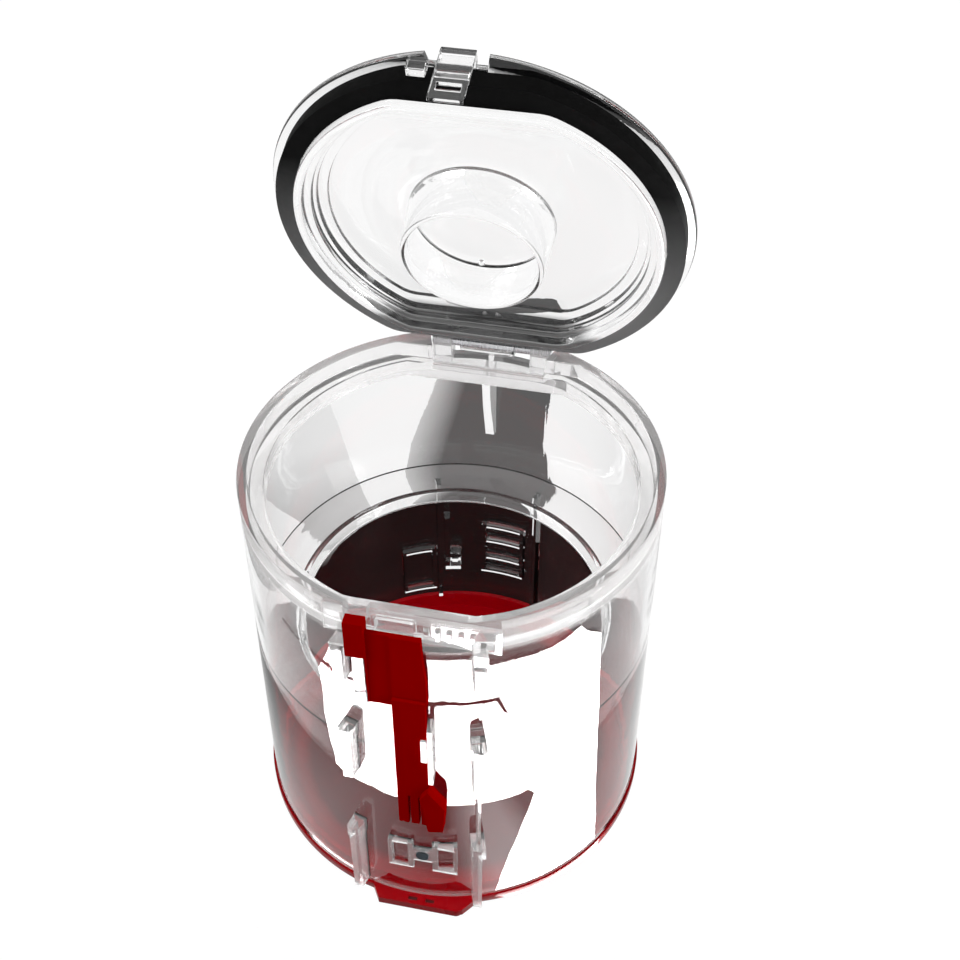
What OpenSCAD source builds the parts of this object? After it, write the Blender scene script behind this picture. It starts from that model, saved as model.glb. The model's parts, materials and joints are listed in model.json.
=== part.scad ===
// Clear dust bin of a handheld vacuum, mouth up, with its lid swung open.
// The bin stands on its closed end: origin at the centre of the base plane,
// +Z up to the mouth, -Y towards the latch, +Y towards the lid hinge.
// Millimetres throughout.

/* [Bin] */

// Outer diameter of the bin at its mouth
mouth_d = 120; // [110:1:130]
// Height from the base plane to the rim
bin_h = 132; // [120:1:145]
// Growth of the outer radius from the mouth to the closed end
flare = 2.3; // [1:0.1:3]
// Thickness of the clear wall
wall_t = 2.2; // [1.8:0.1:2.6]
// Depth of the moulded ring round the mouth
ring_h = 11; // [10:0.5:13]
// Radial width of the mouth ring
ring_w = 7; // [6.5:0.1:7.5]
// Width of the seal's rebate at the ring's outer edge
rebate_edge = 3; // [2.6:0.1:3.4]

/* [Base cap] */

// Thickness of the red end disc
cap_t = 3; // [2.5:0.1:4]
// How far the disc stands out past the wall
cap_lip = 0.7; // [0.3:0.1:1.5]
// Height of the spigot that fits inside the wall
spigot_h = 6; // [4:0.5:9]
// Reach of the front tongue past the disc
tongue_reach = 3; // [2:0.5:6]

/* [Baffle] */

// Height of the baffle shelf at the wall
baffle_z = 76; // [60:1:90]
// Radius of the opening in the baffle
baffle_hole_r = 46; // [40:0.5:48]
// Depth of the lip that hangs round the opening
baffle_lip_h = 4.7; // [3:0.1:7]

/* [Lid] */

// How far the lid stands open, measured from closed
open_deg = 73.6; // [0:0.2:100]
// How far the lid plate's edge lies inside the rim's
lid_inset = 1.2; // [0.8:0.1:1.6]
// Thickness of the lid plate
lid_t = 2; // [1.6:0.1:2.4]
// Depth of the plug ring that enters the mouth
plug_h = 7; // [5:0.5:8]
// Radial width of the plug ring at its root
plug_w = 5.3; // [5:0.1:6]
// Radius of the centre tube at its root
tube_r = 20.7; // [16:0.1:26]
// Depth of the centre tube below the lid plate
tube_h = 14.5; // [8:0.5:20]

/* [Latch] */

// Height of the latch's lower end above the base plane
latch_foot_z = 46; // [42:1:50]
// Width of the latch arm
latch_arm_w = 9; // [8:0.5:10]
// Thickness of the latch plate
latch_t = 1.6; // [1.4:0.1:1.8]

// Offset of the latch side's middle plane from the bin's axis
front_x = 1.9; // [0:0.1:2.5]
// Length of the snap hook's tongue below the rim
hook_drop = 14.7; // [12:0.1:15]

/* [Clearances] */

// Gap between parts that move past each other
run_gap = 0.4; // [0.3:0.05:0.6]
// Radial gap between the lid's plug ring and the mouth ring
plug_clear = 1.7; // [1.2:0.1:2]
// Height of the closed lid, and of its seal, above what they close on
seat_gap = 0.3; // [0.3:0.05:0.5]
// Radial clearance of the hinge pin in the lid knuckle
pin_clear = 0.08; // [0.04:0.01:0.1]
// Radial clearance of the hinge pin in the fixed lugs
pin_seat_clear = 0.02; // [0.01:0.01:0.04]

/* [Hidden] */

$fn = 96;
eps = 0.5;

mouth_r = mouth_d / 2;
ring_z = bin_h - ring_h;
base_r = mouth_r + flare;
cap_r = base_r + cap_lip;
function wall_r(z) = mouth_r + flare * (bin_h - z) / (bin_h - cap_t);
function bore_r(z) = wall_r(z) - wall_t;

// Mouth ring: flats across the bore, the seal's rebate and the latch pad.
ring_bore_r = mouth_r - ring_w;
front_bore_y = -(ring_bore_r - 3);
back_bore_y = ring_bore_r - 6;
rebate_r = mouth_r - rebate_edge;
rebate_z = bin_h - 5;
rebate_front_y = front_bore_y - 4.8;
rebate_back_y = back_bore_y + 2.4;
pad_y = -(mouth_r - 2.6);
pad_half_w = 23.5;
pad_z = ring_z + 0.8;

// Hinge: a pin along X above the back of the mouth.
hinge_x = 0.85;
hinge_y = mouth_r - 5;
hinge_z = bin_h - 1;
notch_half_w = 19;
notch_y = back_bore_y + 1;
notch_z = bin_h - 8;
pin_r = 1.5;
lug_r = 3;
lug_w = 6;
knuckle_r = 2.8;
knuckle_w = 17;
pin_len = 2 * notch_half_w - 0.6;

// Lid, described closed and then swung open about the hinge.
lid_r = mouth_r - lid_inset;
lid_z = bin_h + seat_gap;
lid_top = lid_z + lid_t;
lid_back_y = hinge_y - lug_r - 0.1;
plug_r = ring_bore_r - plug_clear;
plug_front_y = front_bore_y + 2.6;
plug_back_y = back_bore_y - 1.5;
seal_r = rebate_r - run_gap;
seal_bore_r = plug_r + 0.2;
seal_h = lid_z - (rebate_z + seat_gap);
seal_front_y = rebate_front_y + run_gap;
seal_back_y = rebate_back_y - 0.5;
panel_r = plug_r - 8;
panel_flat = plug_back_y - 9.5;
panel_t = lid_t / 2;
panel_z = lid_top - panel_t;
tube_wall = 1.4;
lid_corner = 9;
tangent_gap = 0.05;

// Snap hook at the front of the lid and the frame it drops into.
hook_x0 = -7.2;
hook_w = 8.8;
hook_x1 = hook_x0 + hook_w;
hook_back_y = pad_y - 0.6;
hook_t = 1.2;
hook_root_y = rebate_front_y - 0.2;
hook_tip_z = bin_h - hook_drop;
hook_window_z = hook_tip_z + 3.2;
hook_window_h = 2.2;
barb_z = bin_h - 6.6;
barb_h = 2;
barb_out = 1.2;
slot_x0 = hook_x0 - 0.2;
slot_x1 = hook_x1 + 0.8;
slot_z0 = bin_h - 7.4;
slot_z1 = bin_h - 3.4;
slot_depth = 2;
frame_out = 0.3;
frame_left = 1.2;
frame_right = 0.8;
frame_low = 1;
frame_high = 1.8;
tooth_w = 1.3;
tooth_h = 3.4;
tooth_out = 0.9;
tooth_pitch = 3;

// Well behind the latch plate that the hook's tongue hangs in.
well_x0 = hook_x0 - 0.6;
well_x1 = hook_x1 + 0.6;
well_z = hook_tip_z - 0.6;
well_back = 2.2;

// The lid's corner post and the latch's thumb block share one column.
post_x0 = -15;
post_w = 5;
post_y0 = pad_y + 0.2;
post_d = 4;

// Latch: the plate and thumb block near the rim, the arm down the wall.
latch_back_y = -(wall_r(ring_z) + 0.8);
arm_back_y = -(wall_r(latch_foot_z) + run_gap);
arm_x0 = front_x - 4.7;
arm_x1 = arm_x0 + latch_arm_w;
arm_t = latch_t;
plate_x0 = arm_x0 - 6.7;
plate_top_z = bin_h - 3.6;
plate_low_z = bin_h - 32;
flange_step = 0.4;
thumb_x0 = plate_x0 - 4.9;
thumb_z = bin_h - 13;
thumb_x1 = plate_x0 + 0.4;
thumb_back_y = -(sqrt(pow(wall_r(thumb_z), 2) - pow(thumb_x1, 2)) + run_gap);
keeper_z = latch_foot_z + 23.2;
keeper_h = 24.8;
keeper_out = 1.2;
bracket_h = 19;

// Outside guides: ribs either side of the latch, each with a wider head.
guide_half = 18.9;
guide_t = 3;
guide_front_y = -(mouth_r - 6);
low_guide_z = cap_t + 2.5;
low_guide_top_z = 38.5;
mid_guide_z = 64;
mid_guide_h = 22;
up_guide_z = ring_z - 12.2;
up_guide_h = 15;
up_guide_rise = 1.8;

// Bow-tie clip and its insert low on the front.
clip_z = 20;
clip_h = 14;
clip_out = 1.4;
clip_front_y = -(wall_r(clip_z + clip_h / 2) + clip_out);
clip_back_y = guide_front_y;
clip_rim = 1.2;
clip_left_w = 7.8;
clip_gap = 2;
insert_x = front_x + 1.6;
insert_z = clip_z + 7.8;
insert_r = 2;

// Inside back, under the baffle.
rail_x = 18;
rail_t = 1.8;
rail_d = 3;
frame_d = 1.8;
boss_r = 2.6;

// ---- helpers -------------------------------------------------------------

// A box given by its low and high corners.
module span(lo, hi) {
    translate(lo) cube([hi[0] - lo[0], hi[1] - lo[1], hi[2] - lo[2]]);
}

// A prism drawn in X and Z, from y_back towards the front.
module front_slab(y_back, thick) {
    translate([0, y_back, 0]) rotate([90, 0, 0]) linear_extrude(height = thick) children();
}

// A prism drawn in Y and Z, from x0 towards +X.
module side_slab(x0, thick) {
    translate([x0, 0, 0]) rotate([90, 0, 90]) linear_extrude(height = thick) children();
}

// The solid cone that the wall's outside follows.
module wall_cone() {
    translate([0, 0, cap_t]) cylinder(h = bin_h - cap_t, r1 = base_r, r2 = mouth_r, $fn = 288);
}

// The solid cone inside the wall.
module bore_cone() {
    translate([0, 0, cap_t]) cylinder(h = bin_h - cap_t, r1 = base_r - wall_t, r2 = mouth_r - wall_t);
}

// The block behind the flat latch pad.
module pad_block() {
    span([front_x - pad_half_w, pad_y, ring_z], [front_x + pad_half_w, front_bore_y - 1, bin_h]);
}

// A round slice with a flat cut across its front and its back.
module flat_disc(r, y_front, y_back, z0, h) {
    intersection() {
        translate([0, 0, z0]) cylinder(h = h, r = r);
        span([-r - 1, y_front, z0 - 1], [r + 1, y_back, z0 + h + 1]);
    }
}

// The same slice with its corners rounded off: the arc between the corner
// circles, a core that reaches nearly to their tangent points, and the circles.
module round_disc(r, y_front, y_back, z0, h) {
    q = lid_corner;
    arc_front_y = y_front + q;
    arc_back_y = y_back - q;
    arc_front_x = sqrt(pow(r - q, 2) - pow(arc_front_y, 2));
    arc_back_x = sqrt(pow(r - q, 2) - pow(arc_back_y, 2));
    k = r / (r - q);
    core_k = k - tangent_gap / q;
    union() {
        flat_disc(r, arc_front_y * k, arc_back_y * k, z0, h);
        translate([0, 0, z0]) linear_extrude(height = h)
            polygon([
                [-arc_front_x, y_front], [arc_front_x, y_front],
                [arc_front_x * core_k, arc_front_y * core_k],
                [arc_back_x * core_k, arc_back_y * core_k],
                [arc_back_x, y_back], [-arc_back_x, y_back],
                [-arc_back_x * core_k, arc_back_y * core_k],
                [-arc_front_x * core_k, arc_front_y * core_k]
            ]);
        for (s = [-1, 1]) {
            translate([s * arc_front_x, arc_front_y, z0]) cylinder(h = h, r = q - tangent_gap);
            translate([s * arc_back_x, arc_back_y, z0]) cylinder(h = h, r = q - tangent_gap);
        }
    }
}

// Swings the closed lid to its open position.
module swing() {
    translate([0, hinge_y, hinge_z]) rotate([-open_deg, 0, 0])
        translate([0, -hinge_y, -hinge_z]) children();
}

// ---- bin -------------------------------------------------------------------

module bin_wall() {
    color([0.86, 0.88, 0.9, 0.4])
    difference() {
        rotate_extrude()
            polygon([
                [wall_r(cap_t) - wall_t, cap_t],
                [wall_r(cap_t), cap_t],
                [wall_r(ring_z), ring_z],
                [bore_r(ring_z), ring_z]
            ]);
        // Opening of the well behind the latch plate.
        span([well_x0, -base_r - 2, well_z], [well_x1, pad_y, ring_z + eps]);
    }
}

module mouth_ring() {
    color([0.86, 0.88, 0.9, 0.5])
    difference() {
        union() {
            difference() {
                translate([0, 0, ring_z]) cylinder(h = ring_h, r1 = wall_r(ring_z), r2 = mouth_r);
                // The latch pad is flat above a thin ledge.
                span([front_x - pad_half_w, -mouth_r - 2, pad_z], [front_x + pad_half_w, pad_y, bin_h + 1]);
            }
            pad_block();
            // Back and sides of the well, moulded onto the inside of the wall.
            intersection() {
                span([well_x0 - 2, pad_y - 3, well_z - 2], [well_x1 + 2, pad_y + well_back, ring_z + eps]);
                bore_cone();
            }
        }
        flat_disc(ring_bore_r, front_bore_y, back_bore_y, ring_z - 1, ring_h + 2);
        flat_disc(rebate_r, rebate_front_y, rebate_back_y, rebate_z, bin_h - rebate_z + 1);
        // Hinge notch, open to the back and to the top.
        span([hinge_x - notch_half_w, notch_y, notch_z], [hinge_x + notch_half_w, mouth_r + 2, bin_h + 1]);
        // Pocket for the snap hook's barb.
        span([slot_x0, pad_y - 1, slot_z0], [slot_x1, pad_y + slot_depth, slot_z1]);
        // The well that the hook's tongue hangs in.
        span([well_x0, -mouth_r - 4, well_z], [well_x1, pad_y, pad_z + eps]);
        // Recess for the lid's pop-up post.
        span(
            [post_x0 - 0.5, pad_y - 1, bin_h - post_d - 0.5],
            [post_x0 + post_w + 0.5, rebate_front_y + 0.5, bin_h + 1]
        );
    }
}

module slot_frame() {
    color([0.9, 0.92, 0.94, 0.5])
    front_slab(pad_y, frame_out)
        difference() {
            translate([slot_x0 - frame_left, slot_z0 - frame_low])
                square([
                    slot_x1 - slot_x0 + frame_left + frame_right,
                    slot_z1 - slot_z0 + frame_low + frame_high
                ]);
            translate([slot_x0, slot_z0]) square([slot_x1 - slot_x0, slot_z1 - slot_z0]);
        }
}

module pad_teeth() {
    color([0.9, 0.92, 0.94, 0.5])
    for (i = [0:4])
        front_slab(pad_y, tooth_out)
            translate([slot_x1 + frame_right + 2 + tooth_pitch * i, slot_z0 - 0.2])
                square([tooth_w, tooth_h]);
}

module hinge_lugs() {
    color([0.86, 0.88, 0.9, 0.5])
    for (s = [-1, 1])
        difference() {
            side_slab(hinge_x + s * (notch_half_w - 0.7 - lug_w / 2) - lug_w / 2, lug_w)
                union() {
                    translate([hinge_y, hinge_z]) circle(r = lug_r);
                    translate([hinge_y - lug_r, notch_z]) square([2 * lug_r, hinge_z - notch_z]);
                }
            translate([-30, hinge_y, hinge_z]) rotate([0, 90, 0])
                cylinder(h = 60, r = pin_r + pin_seat_clear);
        }
}

module hinge_pin() {
    color([0.75, 0.76, 0.78])
    translate([hinge_x - pin_len / 2, hinge_y, hinge_z]) rotate([0, 90, 0]) cylinder(h = pin_len, r = pin_r);
}

module hinge_gusset() {
    color([0.9, 0.92, 0.94, 0.5])
    intersection() {
        side_slab(-1.3, 2.9)
            polygon([
                [back_bore_y + 1.5, ring_z], [mouth_r + 4, ring_z], [mouth_r + 4, ring_z - 30],
                [bore_r(ring_z - 29) - 1.7, ring_z - 29], [back_bore_y + 4, ring_z - 12]
            ]);
        bore_cone();
    }
}

// One guide rib on the outside of the wall with a wider head at its top.
module guide_post(side, z0, z1, proud, head_h, head_out) {
    x0 = front_x + side * guide_half - guide_t / 2;
    difference() {
        union() {
            span([x0, -(wall_r(z0) + proud - 2), z0], [x0 + guide_t, guide_front_y, z1]);
            span(
                [x0 - head_out, -(wall_r(z1) + proud - 2.6), z1 - head_h],
                [x0 + guide_t + head_out, guide_front_y, z1]
            );
        }
        wall_cone();
        pad_block();
    }
}

module upper_guides() {
    color([0.88, 0.9, 0.92, 0.5])
    for (s = [-1, 1])
        guide_post(
            s, up_guide_z + s * up_guide_rise,
            up_guide_z + s * up_guide_rise + up_guide_h, 4.2, 7, 0.5
        );
}

module middle_guides() {
    color([0.88, 0.9, 0.92, 0.5])
    union() {
        for (s = [-1, 1])
            guide_post(s, mid_guide_z, mid_guide_z + mid_guide_h, 4.2, 5, 0.8);
        // Thin rib that joins the right guide to the lower one.
        difference() {
            span(
                [front_x + guide_half - 0.5, -(wall_r(low_guide_top_z) + 0.9), low_guide_top_z + 0.3],
                [front_x + guide_half + 0.5, guide_front_y, mid_guide_z + eps]
            );
            wall_cone();
        }
    }
}

module lower_guides() {
    color([0.88, 0.9, 0.92, 0.5])
    for (s = [-1, 1])
        guide_post(s, low_guide_z, low_guide_top_z, 4.4, 6, 0.8);
}

module baffle_ring() {
    color([0.84, 0.86, 0.88, 0.5])
    rotate_extrude()
        polygon([
            [bore_r(baffle_z + 7), baffle_z + 7],
            [bore_r(baffle_z + 4) - 0.5, baffle_z + 4],
            [bore_r(baffle_z + 2) - 1.4, baffle_z + 2],
            [bore_r(baffle_z) - 3, baffle_z + 0.5],
            [bore_r(baffle_z) - 6, baffle_z - 0.6],
            [baffle_hole_r + 1, baffle_z - 1.8],
            [baffle_hole_r, baffle_z - 1.8 - baffle_lip_h],
            [baffle_hole_r + 1.8, baffle_z - 1.8 - baffle_lip_h],
            [baffle_hole_r + 2.6, baffle_z - 3.8],
            [bore_r(baffle_z - 2), baffle_z - 2]
        ]);
}

// Trims its children to a thin layer on the inside of the wall.
module wall_layer(depth) {
    difference() {
        intersection() {
            children();
            bore_cone();
        }
        translate([0, 0, cap_t])
            cylinder(h = bin_h - cap_t, r1 = base_r - wall_t - depth, r2 = mouth_r - wall_t - depth);
    }
}

module rear_rails() {
    color([0.8, 0.82, 0.84, 0.5])
    wall_layer(rail_d)
        for (s = [-1, 1])
            span(
                [rail_x * s - rail_t / 2, mouth_r - 20, cap_t + spigot_h + 0.5],
                [rail_x * s + rail_t / 2, base_r + 2, baffle_z - 7]
            );
}

module rear_frames() {
    color([0.8, 0.82, 0.84, 0.5])
    wall_layer(frame_d)
        front_slab(base_r + 2, base_r - 20) {
            difference() {
                translate([-2.5, 23]) square([15.5, 25]);
                translate([-0.9, 24.6]) square([12.3, 5.6]);
                translate([-0.9, 31.8]) square([12.3, 7.2]);
                translate([-0.9, 40.6]) square([12.3, 5.8]);
            }
            difference() {
                translate([-34, 13]) square([14.5, 22]);
                translate([-32.4, 14.6]) square([11.3, 18.8]);
            }
        }
}

module rear_hook() {
    color([0.8, 0.82, 0.84, 0.5])
    wall_layer(rail_d + 0.4)
        front_slab(base_r + 2, base_r - 20)
            union() {
                translate([-16, 25]) square([2, 27]);
                translate([-16, 25]) square([6, 2]);
                translate([-12.2, 31.5]) circle(r = boss_r);
            }
}

module foot_clip() {
    left_x = insert_x - insert_r - 0.8 - clip_left_w;
    right_x = insert_x + insert_r + clip_gap - 1;
    color([0.88, 0.9, 0.92, 0.5])
    difference() {
        front_slab(clip_back_y, clip_back_y - clip_front_y)
            difference() {
                union() {
                    translate([left_x, clip_z]) square([clip_left_w, clip_h]);
                    translate([right_x, clip_z]) square([clip_left_w, clip_h]);
                    translate([insert_x - insert_r - 1.2, insert_z - insert_r - 1.2])
                        square([2 * insert_r + 2.8, 2 * insert_r + 2.2]);
                }
                translate([left_x + clip_rim, clip_z + clip_rim])
                    square([clip_left_w - 2 * clip_rim - 0.6, clip_h - 2 * clip_rim]);
                translate([right_x + clip_rim + 0.6, clip_z + clip_rim])
                    square([clip_left_w - 2 * clip_rim - 0.6, clip_h - 2 * clip_rim]);
                translate([insert_x, insert_z]) circle(r = insert_r);
            }
        wall_cone();
    }
}

module clip_insert() {
    insert_back_y = -wall_r(insert_z - insert_r);
    color([0.12, 0.12, 0.13])
    front_slab(insert_back_y, insert_back_y - clip_front_y + 0.2)
        translate([insert_x, insert_z]) circle(r = insert_r - 0.02);
}

module base_cap() {
    tongue_x = front_x + 0.8;
    color([0.75, 0.03, 0.07])
    union() {
        difference() {
            union() {
                cylinder(h = cap_t, r = cap_r);
                // Front tongue with rounded corners.
                translate([tongue_x, 0, 0]) linear_extrude(height = cap_t)
                    union() {
                        polygon([
                            [-17.5, -cap_r + 6], [-16, -cap_r + 1.4], [-13.3, -cap_r - tongue_reach],
                            [11, -cap_r - tongue_reach], [13.3, -cap_r - tongue_reach + 1],
                            [16, -cap_r + 1.4], [17.5, -cap_r + 6]
                        ]);
                        translate([11, -cap_r - tongue_reach + 2.4]) circle(r = 2.4);
                    }
            }
            for (x = [-2.7, 2.7])
                span(
                    [tongue_x + x - 1.4, -cap_r - 1.7, -1],
                    [tongue_x + x + 1.4, -cap_r - 0.6, cap_t + 1]
                );
        }
        // Spigot inside the wall.
        rotate_extrude()
            polygon([
                [bore_r(cap_t) - 2.4, cap_t - eps],
                [bore_r(cap_t) - 0.2, cap_t - eps],
                [bore_r(cap_t + spigot_h) - 0.2, cap_t + spigot_h],
                [bore_r(cap_t + spigot_h) - 1.8, cap_t + spigot_h]
            ]);
    }
}

module latch_keeper() {
    keeper_front_y = arm_back_y - arm_t - keeper_out;
    color([0.88, 0.9, 0.92, 0.5])
    difference() {
        union() {
            span(
                [arm_x1 + run_gap, keeper_front_y, keeper_z],
                [arm_x1 + run_gap + 1.6, guide_front_y, keeper_z + keeper_h]
            );
            // Lip that holds the arm against the wall.
            span(
                [arm_x1 - 1.4, keeper_front_y, keeper_z + 10],
                [arm_x1 + run_gap, keeper_front_y + 0.8, keeper_z + 20]
            );
            // Bracket beside the latch plate's left edge.
            span(
                [plate_x0 - 3.9, latch_back_y - 0.6, plate_low_z - 2],
                [plate_x0 - 0.6, guide_front_y, plate_low_z - 2 + bracket_h]
            );
        }
        wall_cone();
    }
}

// ---- latch -----------------------------------------------------------------

module latch_slide() {
    color([0.72, 0.02, 0.06])
    difference() {
        union() {
            // Upper plate, wider to the left and flared at its right edge.
            front_slab(latch_back_y, latch_t)
                polygon([
                    [plate_x0, plate_top_z], [arm_x1 - 0.8, plate_top_z], [arm_x1 - 0.5, plate_top_z - 8],
                    [arm_x1 + 0.2, plate_top_z - 16], [arm_x1 + 0.3, plate_low_z + 2], [arm_x1, plate_low_z],
                    [plate_x0, plate_low_z]
                ]);
            // Thumb block beside the plate, flush with the rim.
            span([thumb_x0, latch_back_y - latch_t - 0.6, thumb_z], [thumb_x1, thumb_back_y, bin_h]);
            // Arm.
            front_slab(arm_back_y, arm_t)
                translate([arm_x0, latch_foot_z]) square([latch_arm_w, plate_low_z + 4 - latch_foot_z]);
            // Wedge foot at the lower end.
            front_slab(arm_back_y, 3.6)
                polygon([
                    [arm_x1 - 2.1, latch_foot_z + 16], [arm_x1 + 0.3, latch_foot_z + 20],
                    [arm_x1 + 5.1, latch_foot_z + 12.5], [arm_x1 + 4.4, latch_foot_z + 1],
                    [arm_x1, latch_foot_z]
                ]);
        }
        // The flange left of the arm is set back.
        span(
            [thumb_x1 + 0.01, latch_back_y - latch_t - 1, plate_low_z - 1],
            [arm_x0, latch_back_y - latch_t + flange_step, bin_h]
        );
        // Slots between the arm's prongs.
        for (x = [3, 6])
            span(
                [arm_x0 + x, arm_back_y - arm_t - 1, latch_foot_z - 1],
                [arm_x0 + x + 0.7, arm_back_y + 1, latch_foot_z + 14]
            );
    }
}

// ---- lid -------------------------------------------------------------------

module lid_panel() {
    color([0.9, 0.92, 0.94, 0.4])
    swing()
        difference() {
            flat_disc(lid_r, -lid_r, lid_back_y, lid_z, lid_t);
            round_disc(panel_r, -panel_flat, panel_flat, lid_z - 1, panel_z - lid_z + 1);
            // Notch round the snap hook.
            span([hook_x0 - 3.5, -lid_r - 1, lid_z - 1], [hook_x1 + 2.8, hook_root_y, lid_top + 1]);
        }
}

module lid_plug_ring() {
    color([0.9, 0.92, 0.94, 0.5])
    swing()
        difference() {
            round_disc(plug_r, plug_front_y, plug_back_y, lid_z - plug_h, plug_h);
            // Three steps down to the panel.
            round_disc(plug_r - 2.3, plug_front_y + 2.3, plug_back_y - 2.3, lid_z - plug_h - 1, plug_h - 3);
            round_disc(plug_r - 4.3, plug_front_y + 4.3, plug_back_y - 4.3, lid_z - plug_h - 1, plug_h - 1);
            round_disc(
                plug_r - plug_w, plug_front_y + 5.8, plug_back_y - 5.8,
                lid_z - plug_h - 1, plug_h + 2
            );
        }
}

module lid_plug_tube() {
    gate_y = tube_r - tube_wall - 1.1;
    color([0.9, 0.92, 0.94, 0.5])
    swing()
        difference() {
            union() {
                translate([0, 0, lid_z - tube_h])
                    cylinder(h = panel_z - lid_z + tube_h, r1 = tube_r - 1, r2 = tube_r);
                // Moulding gate mark.
                translate([-1, gate_y, panel_z - 1.2]) cylinder(h = 1.2, r = 1);
            }
            difference() {
                translate([0, 0, lid_z - tube_h - 1])
                    cylinder(
                        h = panel_z - lid_z + tube_h + 2,
                        r1 = tube_r - tube_wall - 1, r2 = tube_r - tube_wall
                    );
                translate([-1, gate_y, panel_z - 1.2]) cylinder(h = 3, r = 1);
            }
        }
}

module lid_seal() {
    color([0.03, 0.03, 0.03])
    swing()
        difference() {
            round_disc(seal_r, seal_front_y, seal_back_y, lid_z - seal_h, seal_h);
            round_disc(seal_bore_r, plug_front_y - 0.2, plug_back_y + 0.2, lid_z - seal_h - 1, seal_h + 2);
        }
}

module lid_post() {
    color([0.9, 0.92, 0.94, 0.5])
    swing()
        span([post_x0, post_y0, lid_z - post_d], [post_x0 + post_w - 0.2, seal_front_y - 0.1, lid_z]);
}

module lid_knuckle() {
    color([0.9, 0.92, 0.94, 0.5])
    swing()
        difference() {
            side_slab(hinge_x - knuckle_w / 2 - 1.2, knuckle_w)
                union() {
                    translate([hinge_y, hinge_z]) circle(r = knuckle_r);
                    translate([lid_back_y, hinge_z]) square([hinge_y - lid_back_y, knuckle_r]);
                }
            translate([-30, hinge_y, hinge_z]) rotate([0, 90, 0])
                cylinder(h = 60, r = pin_r + pin_clear);
        }
}

module lid_hook() {
    color([0.9, 0.92, 0.94, 0.5])
    swing()
        difference() {
            union() {
                // Strap over the rim, the tongue that hangs from it and the barb.
                span([hook_x0, hook_back_y - hook_t, lid_z], [hook_x1, hook_root_y - 0.3, lid_top]);
                span([hook_x0, hook_back_y - hook_t, hook_tip_z], [hook_x1, hook_back_y, lid_z + 0.5]);
                side_slab(slot_x0 + run_gap, hook_w - 0.6)
                    polygon([
                        [hook_back_y - 0.2, barb_z - 0.6], [hook_back_y + barb_out - 0.4, barb_z],
                        [hook_back_y + barb_out, barb_z + barb_h], [hook_back_y - 0.2, barb_z + barb_h]
                    ]);
            }
            // Window below the barb.
            span(
                [hook_x0 + 1.3, hook_back_y - hook_t - 1, hook_window_z],
                [hook_x1 - 1.3, hook_back_y + 0.1, hook_window_z + hook_window_h]
            );
        }
}

bin_wall();
mouth_ring();
slot_frame();
pad_teeth();
hinge_lugs();
hinge_pin();
hinge_gusset();
upper_guides();
middle_guides();
lower_guides();
baffle_ring();
rear_rails();
rear_frames();
rear_hook();
foot_clip();
clip_insert();
base_cap();
latch_keeper();
latch_slide();
lid_panel();
lid_plug_ring();
lid_plug_tube();
lid_seal();
lid_post();
lid_knuckle();
lid_hook();
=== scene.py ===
import bmesh
import bpy
import json
import math
from mathutils import Matrix, Vector


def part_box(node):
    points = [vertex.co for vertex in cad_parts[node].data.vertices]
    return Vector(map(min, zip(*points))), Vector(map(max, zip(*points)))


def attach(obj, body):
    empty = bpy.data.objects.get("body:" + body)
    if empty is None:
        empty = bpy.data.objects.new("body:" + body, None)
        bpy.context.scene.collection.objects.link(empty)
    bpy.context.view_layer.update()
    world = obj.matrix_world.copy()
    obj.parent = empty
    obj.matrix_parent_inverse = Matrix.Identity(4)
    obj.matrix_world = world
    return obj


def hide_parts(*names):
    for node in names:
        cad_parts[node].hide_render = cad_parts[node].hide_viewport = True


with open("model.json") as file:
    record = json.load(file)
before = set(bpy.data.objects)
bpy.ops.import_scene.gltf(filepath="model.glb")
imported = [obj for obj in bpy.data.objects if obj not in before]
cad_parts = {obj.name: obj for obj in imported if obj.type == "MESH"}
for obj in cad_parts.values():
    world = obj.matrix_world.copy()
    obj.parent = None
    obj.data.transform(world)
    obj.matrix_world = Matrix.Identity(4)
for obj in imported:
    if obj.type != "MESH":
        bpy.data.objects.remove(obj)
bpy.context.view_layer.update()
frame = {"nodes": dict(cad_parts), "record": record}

# ---- Camera -----------------------------------------------------------------
# A long lens above and in front of the latch, a little to the right. It looks down into
# the mouth, with the open lid behind it; white stays white in the Standard view.
camera_data = bpy.data.cameras.new("camera")
camera_data.lens = 49.4
camera_data.sensor_width = 36.0
camera_data.clip_start = 0.01
camera = bpy.data.objects.new("camera", camera_data)
bpy.context.scene.collection.objects.link(camera)
camera.location = (0.0596, -0.2635, 0.3839)
aim = Vector((0.00804, 0.0, 0.126)) - camera.location
camera.rotation_euler = aim.to_track_quat("-Z", "Y").to_euler()
camera.rotation_euler.rotate_axis("Z", math.radians(0.38))
bpy.context.scene.camera = camera
bpy.context.scene.view_settings.view_transform = "Standard"


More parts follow.
